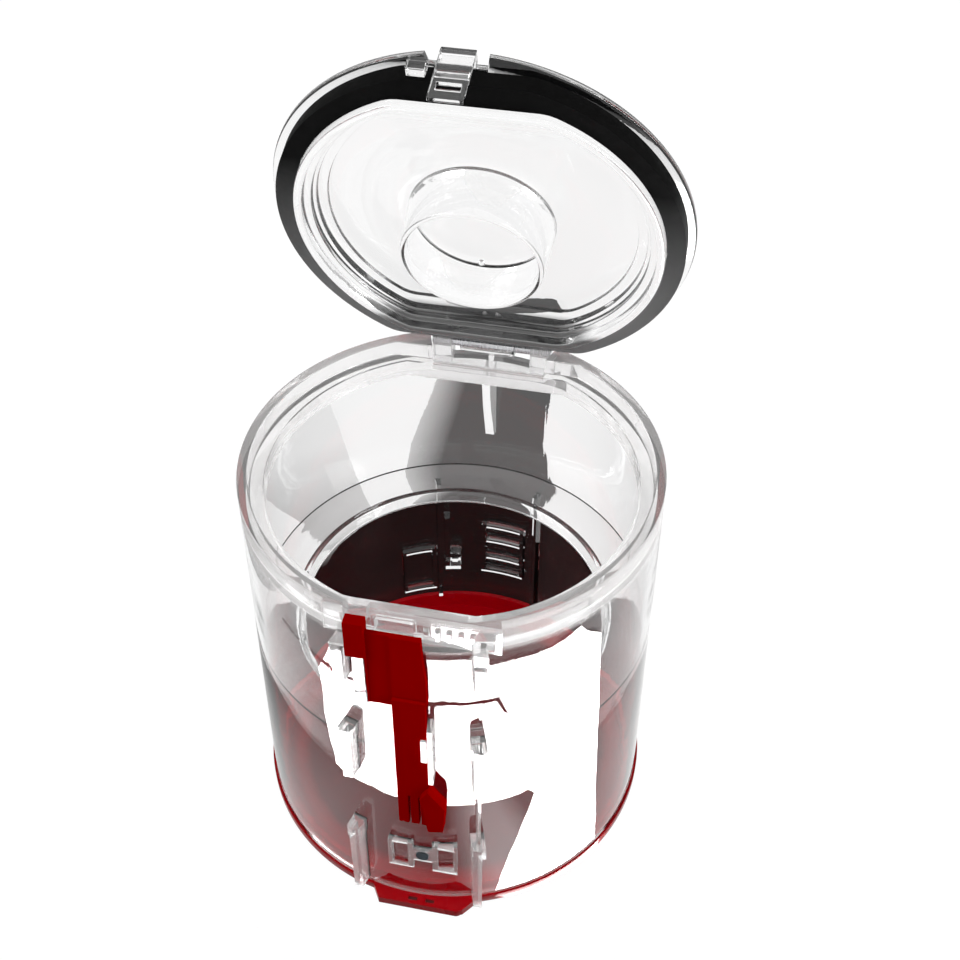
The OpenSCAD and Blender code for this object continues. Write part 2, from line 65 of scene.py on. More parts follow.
# ---- Stage -------------------------------------------------------------------
# A white sweep with dark and bright cards on the table round the bin. Plastic this
# clear shows little of its own, so most of its look is what it mirrors and bends. The
# cards glow by their own emission and are hidden from the camera and from diffuse light:
# painted shade and painted glow, seen only mirrored in the plastic and through it.
class Socket:
    """An output socket: arithmetic on it adds Math nodes, so a material reads as a formula."""

    def __init__(self, tree, out):
        self.tree = tree
        self.out = out

    def node(self, kind, inputs=None, output=0, **settings):
        made = self.tree.nodes.new(kind)
        for key, value in settings.items():
            setattr(made, key, value)
        for key, value in (inputs or {}).items():
            if isinstance(value, Socket):
                self.tree.links.new(value.out, made.inputs[key])
            else:
                made.inputs[key].default_value = value
        return Socket(self.tree, made.outputs[output])

    def math(self, operation, other=0.0, third=0.0):
        return self.node("ShaderNodeMath", {0: self, 1: other, 2: third}, operation=operation)

    def __add__(self, other):
        return self.math("ADD", other)

    def __sub__(self, other):
        return self.math("SUBTRACT", other)

    def __mul__(self, other):
        return self.math("MULTIPLY", other)

    __radd__ = __add__
    __rmul__ = __mul__

    def __rsub__(self, other):
        return self.math("MULTIPLY", -1.0).math("ADD", other)

    def clamp(self):
        return self.node("ShaderNodeMath", {0: self, 1: 0.0}, operation="ADD", use_clamp=True)

    def ramp(self, low, high, a, b):
        return self.node("ShaderNodeMapRange", {"Value": self, 1: low, 2: high, 3: a, 4: b})

    def axis(self, index):
        return self.node("ShaderNodeSeparateXYZ", {0: self}, output=index)

    def distance_to(self, x, y, z):
        return self.node("ShaderNodeVectorMath", {0: self, 1: (x, y, z)}, output=1, operation="DISTANCE")

    def off_axis(self):
        level = self.node("ShaderNodeVectorMath", {0: self, 1: (1, 1, 0)}, operation="MULTIPLY")
        return level.distance_to(0, 0, 0)

    def surface(self):
        output = self.tree.nodes.new("ShaderNodeOutputMaterial")
        self.tree.links.new(self.out, output.inputs["Surface"])


def new_material(name):
    material = bpy.data.materials.new(name)
    material.use_nodes = True
    tree = material.node_tree
    tree.nodes.clear()
    coords = tree.nodes.new("ShaderNodeTexCoord")
    return material, Socket(tree, coords.outputs["Object"])


def light_path(coords, output):
    path = coords.tree.nodes.new("ShaderNodeLightPath")
    return Socket(coords.tree, path.outputs[output])


world = bpy.data.worlds.new("studio")
bpy.context.scene.world = world
world.use_nodes = True
world_tree = world.node_tree
world_tree.nodes.clear()
path = world_tree.nodes.new("ShaderNodeLightPath")
bounced = Socket(world_tree, path.outputs["Diffuse Depth"]).clamp()
sky_strength = bounced.ramp(0, 1, 1.0, 0.25)
sky = bounced.node("ShaderNodeBackground", {"Color": (1, 1, 1, 1), "Strength": sky_strength})
world_output = world_tree.nodes.new("ShaderNodeOutputWorld")
world_tree.links.new(sky.out, world_output.inputs["Surface"])

FLOOR_Z = -0.004
floor_mesh = bpy.data.meshes.new("floor")
bm = bmesh.new()
bmesh.ops.create_grid(bm, x_segments=1, y_segments=1, size=6.0)
bmesh.ops.translate(bm, verts=bm.verts, vec=(0, 0, FLOOR_Z))
bm.to_mesh(floor_mesh)
bm.free()
floor = bpy.data.objects.new("floor", floor_mesh)
bpy.context.scene.collection.objects.link(floor)
floor_material, coords = new_material("floor_white")
bounced = light_path(coords, "Diffuse Depth").clamp()
direct = bounced.ramp(0, 1, 0.95, 0.0)
paint = coords.node("ShaderNodeBsdfDiffuse", {"Color": (0.8, 0.8, 0.8, 1)})
glow = coords.node("ShaderNodeEmission", {"Color": (1, 1, 1, 1), "Strength": 1.05})
coords.node("ShaderNodeMixShader", {0: direct, 1: paint, 2: glow}).surface()
floor_mesh.materials.append(floor_material)


def arc(radius, start, stop, count):
    span = [math.radians(start + (stop - start) * i / count) for i in range(count + 1)]
    return [(radius * math.sin(a), -radius * math.cos(a)) for a in span]


# Heights of the cards on the table, a hair apart, so that the upper ones hide the lower ones.
CARD_Z = {
    "turntable_rim": -0.0007, "front_glow": -0.0009, "turntable": -0.0010, "back_shade": -0.0011,
    "left_flag": -0.0012, "bell": -0.0014
}


def table_card(name, outline, mirrored, bent):
    """A glowing card on the table, hidden from the camera: its painted brightness when mirrored and when
    seen through plastic.
    """
    mesh = bpy.data.meshes.new(name)
    bm = bmesh.new()
    bm.faces.new([bm.verts.new((x, y, CARD_Z[name])) for x, y in outline])
    bm.to_mesh(mesh)
    bm.free()
    card = bpy.data.objects.new(name, mesh)
    bpy.context.scene.collection.objects.link(card)
    card_material, coords = new_material(name + "_paint")
    through = light_path(coords, "Is Transmission Ray")
    strength = (1 - through) * mirrored(coords) + through * bent(coords)
    coords.node("ShaderNodeEmission", {"Color": (1, 1, 1, 1), "Strength": strength}).surface()
    mesh.materials.append(card_material)
    card.visible_camera = False
    card.visible_diffuse = False


def even(value):
    return lambda coords: value


# The dark disc's brightness when mirrored: a painted reflection, brighter to the left and right, with a
# painted hot spot at the front right.
def turntable_painted_reflection(coords):
    x = coords.axis(0)
    left = x.ramp(-0.100, -0.050, 0.35, 1.0) * x.ramp(-0.030, 0.012, 1.0, 0.45)
    right = x.ramp(0.045, 0.062, 0.0, 0.7)
    painted_hot_spot = x.ramp(0.014, 0.032, 0.0, 2.6) * x.ramp(0.046, 0.060, 1.0, 0.0)
    return left + right + painted_hot_spot * coords.axis(1).ramp(-0.055, -0.045, 1.0, 0.0)


def left_shade(coords):
    edge = coords.distance_to(0, 0, 0)
    return edge.ramp(0.098, 0.112, 0.02, 1.0) * edge.ramp(0.112, 0.165, 0.5, 0.9)


def bell_shade(coords):
    return coords.axis(0).ramp(-0.055, -0.036, 0.75, 0.12)


DARK = 0.006
GREY = 0.3
RIM_LINE = 0.6
GLOW = 26.0
# A dark disc under the bin, hidden from the camera: painted shade seen through the plastic, painted
# reflection when mirrored.
table_card("turntable", arc(0.099, 0, 357.5, 143), turntable_painted_reflection, even(DARK))
# A thin ring round it, a painted dark line in the reflections and through the plastic.
rim_inside = arc(0.1395, -75, 33, 40)
rim_outside = arc(0.1415, 32, -75, 40)
table_card("turntable_rim", rim_inside + [(0.078, -0.1075)] + rim_outside, even(GREY), even(RIM_LINE))
flag_inside = arc(0.098, -150, -65, 40)
flag_top = [(-0.084, 0.088), (-0.108, 0.166)]
flag_outside = arc(0.19, -150, -60, 40)[::-1]
table_card("left_flag", flag_inside + flag_top + flag_outside, even(GREY), left_shade)
table_card(
    "bell",
    [(-0.056, 0.085), (0.045, 0.085), (0.032, 0.108), (0.019, 0.124), (0.0115, 0.141), (0.006, 0.159),
     (0.004, 0.197), (-0.050, 0.195), (-0.052, 0.148), (-0.050, 0.130), (-0.047, 0.112)],
    even(GREY), bell_shade
)
table_card(
    "back_shade",
    [(0.050, 0.040), (0.050, 0.080), (0.042, 0.098), (0.022, 0.112), (-0.002, 0.119), (-0.036, 0.116),
     (-0.056, 0.102), (-0.067, 0.082), (-0.071, 0.062), (-0.072, 0.040)],
    even(GREY), even(DARK)
)
near_edge = [(0.026, -0.059), (0.033, -0.063), (0.040, -0.066), (0.051, -0.068), (0.067, -0.069)]
near_edge += arc(0.0985, 42, -39, 40) + [(-0.085, -0.080), (-0.106, -0.086)]
far_edge = arc(0.155, -44, -24, 20) + arc(0.163, -22, 22, 40) + arc(0.158, 24, 72, 40)
right_edge = [(0.144, -0.016), (0.102, -0.020), (0.069, -0.027), (0.048, -0.034)]
table_card("front_glow", near_edge + far_edge + right_edge, even(GLOW), even(DARK))


def lamp(name, place, target, width, height, power):
    data = bpy.data.lights.new(name, "AREA")
    data.shape = "RECTANGLE"
    data.size = width
    data.size_y = height
    data.energy = power
    made = bpy.data.objects.new(name, data)
    bpy.context.scene.collection.objects.link(made)
    made.location = place
    made.rotation_euler = (Vector(target) - Vector(place)).to_track_quat("-Z", "Y").to_euler()
    made.visible_camera = False


lamp("key_left", (-0.7, -0.35, 0.75), (0, 0, 0.1), 0.5, 0.5, 6.0)
lamp("key_right", (0.8, -0.25, 0.55), (0, 0, 0.1), 0.3, 0.7, 5.0)

# ---- Clear bin ---------------------------------------------------------------
# One injection moulding in clear plastic: the tapered wall with its mouth ring, baffle
# shelf, guides and clips. A sheet of quads is wrapped round the axis, one strip for each
# angle, and closes on itself inside and out.
MM = 0.001
RIM_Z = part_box("mouth_ring")[1][2] / MM
MOUTH_R = 60.0
RING_Z = 121.0
BASE_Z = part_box("bin_wall")[0][2] / MM
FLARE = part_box("bin_wall")[1][0] / MM - MOUTH_R
WALL_T = 2.2


def wall_r(z):
    """The tapered wall's outer radius at one height."""
    return MOUTH_R + FLARE * (RIM_Z - z) / (RIM_Z - BASE_Z)


def flat_r(r, angle, front, back):
    """Distance from the axis to a round outline with a flat at its front and back."""
    c = math.cos(angle)
    if c > 0 and r * c > front:
        return front / c
    if c < 0 and -r * c > back:
        return -back / c
    return r


def wrapped(name, columns, closed, sharp_deg):
    """A grid wrapped round the axis: each column is one strip of (r, angle, z) in millimetres."""
    count = len(columns[0])
    along = count if closed else count - 1
    bm = bmesh.new()
    bmesh.ops.create_grid(bm, x_segments=along, y_segments=len(columns), size=1.0)
    for vert in bm.verts:
        i = round((vert.co.x + 1) / 2 * along) % count
        j = round((vert.co.y + 1) / 2 * len(columns)) % len(columns)
        r, angle, z = columns[j][i]
        vert.co = (r * math.sin(angle) * MM, -r * math.cos(angle) * MM, z * MM)
    bmesh.ops.remove_doubles(bm, verts=bm.verts, dist=1e-7)
    bmesh.ops.dissolve_degenerate(bm, edges=bm.edges, dist=1e-8)
    bmesh.ops.recalc_face_normals(bm, faces=bm.faces)
    mesh = bpy.data.meshes.new(name)
    bm.to_mesh(mesh)
    bm.free()
    mesh.shade_smooth()
    mesh.set_sharp_from_angle(angle=math.radians(sharp_deg))
    piece = bpy.data.objects.new(name, mesh)
    bpy.context.scene.collection.objects.link(piece)
    return piece


# Raised features on the front: x from, x to, z from, z to, and the plane y they reach.
# The guides come as: centre, z from, z to, the rib's plane, the head's plane and height, ear.
DRAFT = 0.12
GUIDE_HALF_W = 1.5
PAD_Y = 57.4
PAD_X = (-21.6, 25.4)
fronts = []
for centre, z0, z1, rib, head, head_h, ear in (
    (-17.0, 107.0, 120.7, 62.6, 61.8, 7.0, 0.5), (20.8, 110.6, 120.7, 62.6, 61.8, 3.0, 0.5),
    (-17.0, 64.0, 86.0, 63.4, 62.4, 5.0, 0.8), (20.8, 64.0, 86.0, 63.4, 62.4, 5.0, 0.8),
    (-17.0, 5.5, 38.5, 64.6, 63.4, 6.0, 0.8), (20.8, 5.5, 38.5, 64.6, 63.4, 6.0, 0.8)
):
    fronts.append((centre - GUIDE_HALF_W, centre + GUIDE_HALF_W, z0, z1, rib))
    head_half_w = GUIDE_HALF_W + ear
    fronts.append((centre - head_half_w, centre + head_half_w, z1 - head_h, z1, head))
fronts.append((20.3, 21.3, 38.5, 64.0, 62.5))
fronts.append((6.6, 8.2, 69.2, 94.0, 64.7))
fronts.append((-13.4, -10.1, 98.0, 117.0, 61.6))
CLIP_Y = 63.2
for x0, x1, z0, z1 in (
    (-7.1, -5.9, 20.0, 34.0), (-1.1, 0.7, 20.0, 34.0), (-7.1, 0.7, 20.0, 21.2), (-7.1, 0.7, 32.8, 34.0),
    (6.5, 8.3, 20.0, 34.0), (13.1, 14.3, 20.0, 34.0), (6.5, 14.3, 20.0, 21.2), (6.5, 14.3, 32.8, 34.0),
    (0.3, 7.1, 24.6, 30.8)
):
    fronts.append((x0, x1, z0, z1, CLIP_Y))
SLOT = (-7.4, 2.4, 124.6, 128.6)
SLOT_FRAME_OUT = 0.3
pads = [(-8.6, 3.2, 123.6, 130.4, PAD_Y + SLOT_FRAME_OUT)]
TEETH = 5
TOOTH_X = 5.2
TOOTH_W = 1.3
TOOTH_PITCH = 3
TOOTH_OUT = 0.9
for tooth in range(TEETH):
    x0 = TOOTH_X + TOOTH_PITCH * tooth
    pads.append((x0, x0 + TOOTH_W, 124.4, 127.8, PAD_Y + TOOTH_OUT))
HEAD_HALF_W = 2.0
HEAD_Y = 61.8
for centre, z1 in ((-17.0, 122.0), (20.8, 125.6)):
    pads.append((centre - HEAD_HALF_W, centre + HEAD_HALF_W, 120.9, z1, HEAD_Y))

# Raised features on the inside back: x from, x to, z from, z to, and their depth off the wall.
FRAME_DEPTH = 1.8
HOOK_DEPTH = 3.4
backs = [(-18.9, -17.1, 9.5, 69.0, 3.0), (17.1, 18.9, 9.5, 69.0, 3.0)]
for x0, x1, z0, z1 in (
    (-2.5, -0.9, 23.0, 48.0), (11.4, 13.0, 23.0, 48.0), (-2.5, 13.0, 23.0, 24.6), (-2.5, 13.0, 30.2, 31.8),
    (-2.5, 13.0, 39.0, 40.6), (-2.5, 13.0, 46.4, 48.0), (-34.0, -32.4, 13.0, 35.0),
    (-21.1, -19.5, 13.0, 35.0), (-34.0, -19.5, 13.0, 14.6), (-34.0, -19.5, 33.4, 35.0)
):
    backs.append((x0, x1, z0, z1, FRAME_DEPTH))
for x0, x1, z0, z1 in (
    (-16.0, -14.0, 25.0, 52.0), (-16.0, -10.0, 25.0, 27.0), (-14.4, -10.0, 29.6, 33.4),
    (-13.4, -11.0, 28.9, 34.1)
):
    backs.append((x0, x1, z0, z1, HOOK_DEPTH))

# The gusset inside the back wall: x from, x to, foot z. Its crest leans towards the wall
# from the ring down to the bend, and runs into the wall below it.
GUSSET = (-1.3, 1.6, 92.0)
GUSSET_TOP_Y = 48.5
GUSSET_BEND = (51.0, 109)
GUSSET_LEAN = 0.21
GUSSET_TAPER = 0.34

# Cuts, as x from and x to, then: the hinge notch's inner plane and floor, the recess's
# floor, the foot of the well behind the latch, and the foot and plane of the well's back.
NOTCH = (-18.15, 19.85, 49.1, 123.97)
RECESS = (-15.5, -9.5, 127.5)
WELL = (-7.8, 2.2, 116.7)
WELL_BACK = (-9.8, 4.2, 114.7, 55.2)
POCKET_Y = 55.4
CUT_EDGE = 0.4
CUT_STEP = 0.02

# The planes on which each kind of feature has its width.
FRONT_PLANE = 56.0
HINGE_PLANE = -53.5
REAR_PLANE = -57.0

# The mouth ring: its rebate for the seal and its bore, as radius, front flat and back flat.
SEAT_Z = 127.0
REBATE = (57.0, 54.8, 49.4)
BORE = (53.0, 50.0, 47.0)
EDGE = 0.3
SEAT_EDGE = 0.2
CREST_EDGE = 0.12
CREST_W = 0.7

# The baffle shelf and its hanging lip, from the wall round to the wall, as radius and height.
SHELF_Z = 76.0
SHELF_UNDER_Z = 75.0
SHELF = (
    (47.6, 74.3), (47.0, 73.9), (46.2, 70.0), (46.4, 69.6), (46.9, 69.5), (47.6, 69.6), (47.8, 70.0),
    (48.5, 72.3), (49.2, 73.0)
)


def edge_angles(x, y):
    """Two angles either side of a feature's edge, so that its side is a steep drafted face."""
    return [math.atan2(x - DRAFT, y), math.atan2(x + DRAFT, y)]


STRIPS = 144
LEAST_STEP = 0.0006
angles = [2 * math.pi * i / STRIPS for i in range(STRIPS)]
for x0, x1, z0, z1, y in fronts + pads:
    angles += edge_angles(x0, y) + edge_angles(x1, y)
for x in (SLOT[0], SLOT[1], RECESS[0], RECESS[1], WELL[0], WELL[1], WELL_BACK[0], WELL_BACK[1]):
    angles += edge_angles(x, FRONT_PLANE)
for x in PAD_X:
    angles += edge_angles(x, PAD_Y)
for x0, x1, z0, z1, depth in backs:
    angles += edge_angles(x0, REAR_PLANE) + edge_angles(x1, REAR_PLANE)
for x in (GUSSET[0], GUSSET[1], NOTCH[0], NOTCH[1]):
    angles += edge_angles(x, HINGE_PLANE)
angles = sorted(a % (2 * math.pi) for a in angles)
angles = [a for i, a in enumerate(angles) if i == 0 or a - angles[i - 1] > LEAST_STEP]


def edge_rows(features, extra):
    """Heights of the rows of points: either side of every feature's ends, and some more."""
    rows = set(extra)
    for x0, x1, z0, z1, y in features:
        rows.update((z0 - DRAFT, z0 + DRAFT, z1 - DRAFT, z1 + DRAFT))
    return sorted(rows)


FOOT_Z = 3.0
PAD_FOOT_Z = 121.8
LEAST_ROW = 0.05
outer_rows = edge_rows(fronts, (3.05, 3.4, 50, 103, 116.6, 116.8))
outer_rows = [z for z in outer_rows if FOOT_Z < z < RING_Z - LEAST_ROW]
pad_rows = edge_rows(pads, (121.7, 121.9, 124.5, 124.7, 128.5, 128.7, 131.6))
pad_rows = [RING_Z] + [z for z in pad_rows if z > RING_Z]
upper_rows = (120.9, 118.0, 114.8, 114.6, 109.0, 100.0, 92.2, 91.9, 87.0)
lower_rows = [z for z in reversed(edge_rows(backs, (74.4, 71.5, 3.4, 3.05))) if z > FOOT_Z]


def bin_column(a):
    """The bin's section at one angle: up the outside, over the rim, down the inside."""
    sin_a, cos_a = math.sin(a), math.cos(a)

    def x_on(y):
        """Where this section crosses a plane at the front or back, or far off if it doesn't."""
        return y * sin_a / cos_a if y * cos_a > 0 else 99.0

    def over(features, z, r):
        """The radius at one height, raised where a feature lies over it."""
        for x0, x1, z0, z1, y in features:
            if z0 <= z <= z1 and x0 <= x_on(y) <= x1:
                r = max(r, y / cos_a)
        return r

    front_x = x_on(FRONT_PLANE)
    on_pad = PAD_X[0] < x_on(PAD_Y) < PAD_X[1]
    in_notch = NOTCH[0] < x_on(HINGE_PLANE) < NOTCH[1]
    in_recess = RECESS[0] < front_x < RECESS[1]
    in_well = WELL[0] < front_x < WELL[1]
    top = NOTCH[3] if in_notch else RECESS[2] if in_recess else RIM_Z
    column = []
    for z in outer_rows:
        r = over(fronts, z, wall_r(z))
        column.append((PAD_Y / cos_a if in_well and z > WELL[2] else r, a, z))
    for z in pad_rows:
        r = over(pads, z, wall_r(z))
        if on_pad and (z > PAD_FOOT_Z or in_well):
            r = over(pads, z, PAD_Y / cos_a)
            if SLOT[0] < front_x < SLOT[1] and SLOT[2] < z < SLOT[3]:
                r = POCKET_Y / cos_a
        if top < RIM_Z and z > top - CUT_EDGE:
            # The rows above a cut's floor are laid flat on it, a hair apart.
            share = (z - top + CUT_EDGE) / (RIM_Z - top)
            column.append((r - EDGE * share, a, top - CUT_STEP + CUT_STEP * share))
        else:
            column.append((r, a, z))
    crest = PAD_Y / cos_a if on_pad else MOUTH_R
    column += [(crest - CREST_EDGE, a, top), (crest - CREST_W, a, top)]
    if in_notch:
        inner = -NOTCH[2] / cos_a
        seat = [(inner + EDGE, top), (inner, top + EDGE)]
        seat += [(inner, SEAT_Z - SEAT_EDGE), (inner - SEAT_EDGE, SEAT_Z)]
    else:
        inner = flat_r(REBATE[0], a, REBATE[1], REBATE[2])
        seat = [(inner + EDGE, top), (inner, top - EDGE)]
        seat += [(inner, SEAT_Z + SEAT_EDGE), (inner - SEAT_EDGE, SEAT_Z)]
    bore = flat_r(BORE[0], a, BORE[1], BORE[2])
    seat += [(bore + EDGE, SEAT_Z), (bore, SEAT_Z - EDGE), (bore, RING_Z + EDGE), (bore + EDGE, RING_Z)]
    seat.append((wall_r(RING_Z) - WALL_T - EDGE, RING_Z))
    column += [(r, a, z) for r, z in seat]
    for z in upper_rows:
        r = wall_r(z) - WALL_T
        if GUSSET[0] < x_on(HINGE_PLANE) < GUSSET[1] and z > GUSSET[2]:
            bend_y, bend_z = GUSSET_BEND
            y = GUSSET_TOP_Y + (RING_Z - z) * GUSSET_LEAN
            if z < bend_z:
                y = bend_y + (bend_z - z) * GUSSET_TAPER
            r = min(r, -y / cos_a)
        if WELL_BACK[0] < front_x < WELL_BACK[1] and z > WELL_BACK[2]:
            r = WELL_BACK[3] / cos_a
        column.append((r, a, z))
    wall = wall_r(SHELF_Z) - WALL_T
    column.append((wall, a, SHELF_Z))
    column += [(r, a, z) for r, z in SHELF]
    column.append((wall, a, SHELF_UNDER_Z))
    for z in lower_rows:
        r = wall_r(z) - WALL_T
        for x0, x1, z0, z1, depth in backs:
            if z0 <= z <= z1 and x0 <= x_on(REAR_PLANE) <= x1:
                r = min(r, wall_r(z) - WALL_T - depth)
        column.append((r, a, z))
    return column


clear_bin = wrapped("clear_bin", [bin_column(a) for a in angles], True, 32)
CLARITY = 0.975
HINGE_BAND = (0.1445, 0.1475)


def clear_plastic(name, ring_haze, rib_haze, painted_hinge_shade=CLARITY):
    """Polished clear plastic with faint flow waves; it turns milky in the thick ring and ribs.

    Below the hinge band its tint is darkened to the painted hinge shade, a painted shade for the black seal
    seen through it.
    """
    material, coords = new_material(name)
    waves = coords.node("ShaderNodeTexNoise", {"Vector": coords, "Scale": 38.0, "Detail": 2.0})
    grain = coords.node("ShaderNodeTexNoise", {"Vector": coords, "Scale": 900.0, "Detail": 1.0})
    height = waves + grain * 0.02
    bump = coords.node("ShaderNodeBump", {"Height": height, "Strength": 0.06, "Distance": 0.002})
    z = coords.axis(2)
    # Painted shade: below the hinge band the clear tint is darkened.
    tint = z.ramp(HINGE_BAND[0], HINGE_BAND[1], painted_hinge_shade, CLARITY)
    polish = waves.ramp(0.55, 0.75, 0.01, 0.05)
    glass = coords.node(
        "ShaderNodeBsdfPrincipled",
        {"Base Color": tint, "Roughness": polish, "IOR": 1.5, "Transmission Weight": 1.0, "Normal": bump},
    )
    milk = coords.node(
        "ShaderNodeBsdfPrincipled",
        {"Base Color": (0.95, 0.935, 0.925, 1), "Roughness": 0.3, "Normal": bump},
    )
    ring = z.ramp(0.1203, 0.1212, 0.0, ring_haze)
    reach = coords.off_axis()
    wall_line = MOUTH_R * MM + (RIM_Z * MM - z) * (FLARE / (RIM_Z - BASE_Z))
    rib = (reach - wall_line).ramp(0.0002, 0.0008, 0.0, rib_haze)
    body = coords.node("ShaderNodeMixShader", {0: ring.math("MAXIMUM", rib), 1: glass, 2: milk})
    shade = coords.node("ShaderNodeBsdfTransparent", {"Color": (0.66, 0.66, 0.67, 1)})
    shadow = light_path(coords, "Is Shadow Ray")
    coords.node("ShaderNodeMixShader", {0: shadow, 1: body, 2: shade}).surface()
    return material


bin_plastic = clear_plastic("clear_bin_plastic", 0.24, 0.2)
clear_bin.data.materials.append(bin_plastic)
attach(clear_bin, "bin")
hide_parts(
    "bin_wall", "mouth_ring", "slot_frame", "pad_teeth", "hinge_gusset", "upper_guides",
    "middle_guides", "lower_guides", "baffle_ring", "rear_rails", "rear_frames", "rear_hook",
    "foot_clip", "latch_keeper"
)

# ---- Keeper lip ---------------------------------------------------------------
# A short clear lip, moulded on the keeper strip beside the latch arm. It stands over
# the arm's edge and holds it against the wall while it slides.
keeper_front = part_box("latch_keeper")[0][1]
LIP_SIZE = (0.0017, 0.0008, 0.0098)
LIP_PLACE = (0.00564, keeper_front + 0.00042, 0.0842)
LIP_EDGE = 0.0002
bm = bmesh.new()
bmesh.ops.create_cube(bm, size=1.0)
bmesh.ops.scale(bm, verts=bm.verts, vec=LIP_SIZE)
bmesh.ops.translate(bm, verts=bm.verts, vec=LIP_PLACE)
bmesh.ops.bevel(bm, geom=bm.edges[:], offset=LIP_EDGE, segments=2, profile=0.5, affect="EDGES", material=-1)
lip_mesh = bpy.data.meshes.new("keeper_lip")
bm.to_mesh(lip_mesh)
bm.free()
keeper_lip = bpy.data.objects.new("keeper_lip", lip_mesh)
bpy.context.scene.collection.objects.link(keeper_lip)
lip_mesh.materials.append(bin_plastic)
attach(keeper_lip, "bin")

# ---- Hinge -----------------------------------------------------------------------
# Two clear lugs stand in the notch at the back of the mouth ring, moulded with it. A
# ground steel pin is pushed through them and through the lid's knuckle.
def finish_node(name, material, round_edge):
    """Gives a carried-over node its material, merged edges and a small moulded radius."""
    node = frame["nodes"][name]
    node.data.materials.clear()
    node.data.materials.append(material)
    if round_edge:
        weld = node.modifiers.new("weld", "WELD")
        weld.merge_threshold = 1e-6
        bevel = node.modifiers.new("bevel", "BEVEL")
        bevel.width = round_edge
        bevel.segments = 2
        bevel.limit_method = "ANGLE"
        bevel.angle_limit = math.radians(35)


MOULDED_EDGE = 0.0003
finish_node("hinge_lugs", bin_plastic, MOULDED_EDGE)
steel, coords = new_material("pin_steel")
turning = coords.node("ShaderNodeMapping", {"Vector": coords, "Scale": (4000.0, 40.0, 40.0)})
grind = coords.node("ShaderNodeTexNoise", {"Vector": turning, "Scale": 1.0, "Detail": 3.0})
bump = coords.node("ShaderNodeBump", {"Height": grind, "Strength": 0.15, "Distance": 0.00005})
polish = grind.ramp(0.3, 0.7, 0.18, 0.32)
coords.node(
    "ShaderNodeBsdfPrincipled",
    {"Base Color": (0.6, 0.6, 0.62, 1), "Metallic": 1.0, "Roughness": polish, "Normal": bump},
).surface()
finish_node("hinge_pin", steel, 0)

# ---- Lid --------------------------------------------------------------------------
# A clear moulded disc with a stepped plug ring, a sunk panel and a tapered centre tube.
# It is drawn closed, then swung open about the hinge pin, which its knuckle is threaded on.
hinge = next(joint for joint in frame["record"]["behaviour"]["joints"] if joint["name"] == "lid_hinge")
hinge_place = Vector(hinge["pos_m"])
swing = (
    Matrix.Translation(hinge_place)
    @ Matrix.Rotation(math.radians(hinge["range_deg"][0]), 4, "X")
    @ Matrix.Translation(-hinge_place)
)
LID_GAP = 0.3
LID_T = 2.0
PANEL_SUNK = 1.0
LID_Z = RIM_Z + LID_GAP
LID_TOP = LID_Z + LID_T
PANEL_Z = LID_TOP - PANEL_SUNK
CORNER = 9.0
LID_NOTCH = (-10.7, 4.4, 55.0)


def round_r(r, angle, front, back, corner=CORNER):
    """Distance from the axis to a flat-sided round outline with rounded corners."""
    c, s = abs(math.cos(angle)), abs(math.sin(angle))
    flat = front if math.cos(angle) > 0 else back
    mid_y = flat - corner
    mid_x = math.sqrt((r - corner) ** 2 - mid_y ** 2)
    off = math.atan2(s, c)
    if off >= math.atan2(mid_x, mid_y):
        return r
    if off <= math.atan2(mid_x, flat):
        return flat / c
    along = mid_x * s + mid_y * c
    return along + math.sqrt(corner ** 2 - mid_x ** 2 - mid_y ** 2 + along ** 2)


# Outlines of the lid's edge, the plug's steps from the outside in, and the sunk panel, as
# radius, front flat and back flat; the edge has no flat at the front.
LID_EDGE = (58.8, 99.0, 51.88)
PLUG_STEPS = ((51.3, 47.4, 45.5), (49.0, 45.1, 43.2), (47.0, 43.1, 41.2), (46.0, 41.6, 39.7))
PANEL = (43.3, 36.0, 36.0)
PLUG_H = 7.0
STEP_H = 4.0
INNER_STEP_H = 2.0

# The centre tube, from the panel down its outside, round its tip and up its inside.
TUBE = (
    (21.1, PANEL_Z), (20.8, PANEL_Z - 0.1), (20.7, PANEL_Z - 0.4), (19.75, 118.2), (19.6, 117.9),
    (19.3, 117.8), (18.8, 117.8), (18.5, 117.9), (18.35, 118.2), (19.25, PANEL_Z - 0.4),
    (19.15, PANEL_Z - 0.1), (18.85, PANEL_Z), (0.0, PANEL_Z)
)


